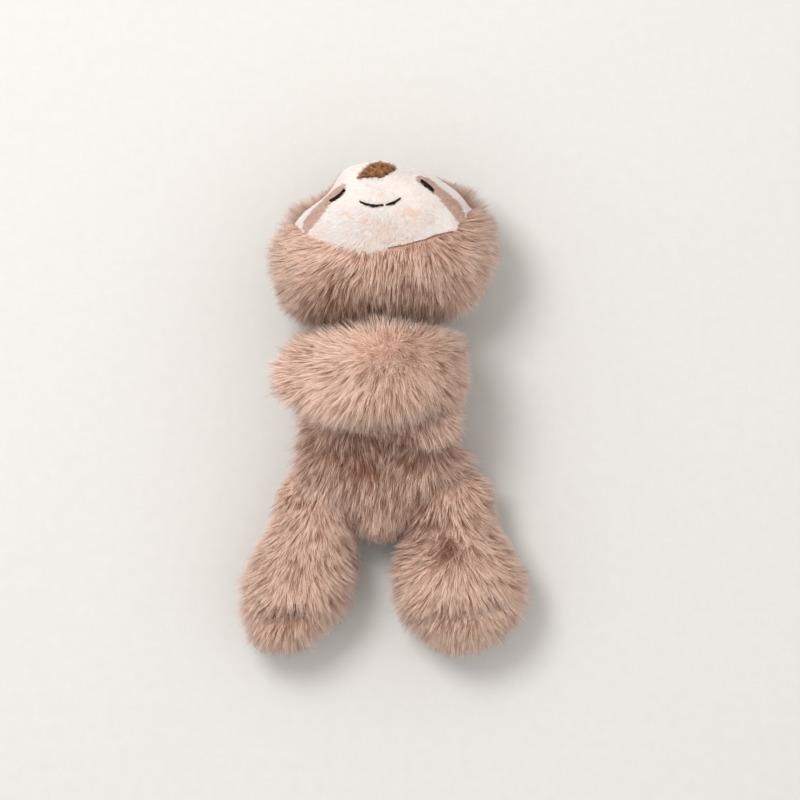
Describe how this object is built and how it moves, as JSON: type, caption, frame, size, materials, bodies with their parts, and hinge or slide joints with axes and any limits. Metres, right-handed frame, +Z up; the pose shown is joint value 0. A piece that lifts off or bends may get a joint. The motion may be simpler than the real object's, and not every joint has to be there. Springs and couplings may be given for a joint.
{
  "type": "plush sloth",
  "caption": "Long-pile plush sloth lying on its back, arms crossed over its chest, with a cream face, closed stitched eyes and sewn limbs that turn at their seams",
  "frame": {"origin": "centre of the flat patch on the back of the body where the toy rests", "axes": "+X to the toy's own left, +Y from the feet towards the head, +Z up out of the belly"},
  "size_m": [0.1654, 0.2892, 0.1132],
  "materials": {
    "fur_cloth": "long taupe pile with pale tips, matt",
    "face_cloth": "short cream pile, matt",
    "eye_band_cloth": "short mauve pile, matt",
    "nose_cloth": "curly brown pile, matt",
    "dark_thread": "dark brown embroidery thread",
    "seam_thread": "taupe sewing thread",
    "fibre_filling": "white polyester fibre filling"
  },
  "bodies": {
    "body": {"body_skin": "fur_cloth", "body_stuffing": "fibre_filling", "left_shoulder_seam": "seam_thread", "right_shoulder_seam": "seam_thread"},
    "neck": {"neck_seam": "seam_thread"},
    "head": {"head_skin": "fur_cloth", "head_stuffing": "fibre_filling", "face_panel": "face_cloth", "left_eye_band": "eye_band_cloth", "right_eye_band": "eye_band_cloth", "left_eye_stitching": "dark_thread", "right_eye_stitching": "dark_thread", "nose": "nose_cloth", "mouth_stitching": "dark_thread"},
    "left_arm": {"left_arm_skin": "fur_cloth", "left_arm_stuffing": "fibre_filling"},
    "right_arm": {"right_arm_skin": "fur_cloth", "right_arm_stuffing": "fibre_filling"},
    "left_hip": {"left_hip_seam": "seam_thread"},
    "left_leg": {"left_leg_skin": "fur_cloth", "left_leg_stuffing": "fibre_filling"},
    "right_hip": {"right_hip_seam": "seam_thread"},
    "right_leg": {"right_leg_skin": "fur_cloth", "right_leg_stuffing": "fibre_filling"}
  },
  "joints": [
    {"name": "neck_turn", "type": "hinge", "parent": "body", "child": "neck", "pos_m": [0.001, 0.058, 0.034], "axis": [0, 1, 0], "range_deg": [-45, 45]},
    {"name": "neck_nod", "type": "hinge", "parent": "neck", "child": "head", "pos_m": [0.001, 0.058, 0.034], "axis": [1, 0, 0], "range_deg": [-15, 8]},
    {"name": "left_arm_open", "type": "hinge", "parent": "body", "child": "left_arm", "pos_m": [0.0355, 0.04, 0.042], "axis": [0, 1, 0], "range_deg": [0, 90]},
    {"name": "right_arm_swing", "type": "hinge", "parent": "body", "child": "right_arm", "pos_m": [-0.037, 0.04, 0.04], "axis": [0, 0, 1], "range_deg": [-70, 0]},
    {"name": "left_hip_spread", "type": "hinge", "parent": "body", "child": "left_hip", "pos_m": [0.0395, -0.044, 0.028], "axis": [0, 0, 1], "range_deg": [-8, 35]},
    {"name": "left_hip_raise", "type": "hinge", "parent": "left_hip", "child": "left_leg", "pos_m": [0.0395, -0.044, 0.028], "axis": [-1, 0, 0], "range_deg": [0, 45]},
    {"name": "right_hip_spread", "type": "hinge", "parent": "body", "child": "right_hip", "pos_m": [-0.0395, -0.044, 0.028], "axis": [0, 0, 1], "range_deg": [-35, 4]},
    {"name": "right_hip_raise", "type": "hinge", "parent": "right_hip", "child": "right_leg", "pos_m": [-0.0395, -0.044, 0.028], "axis": [-1, 0, 0], "range_deg": [0, 45]}
  ]
}
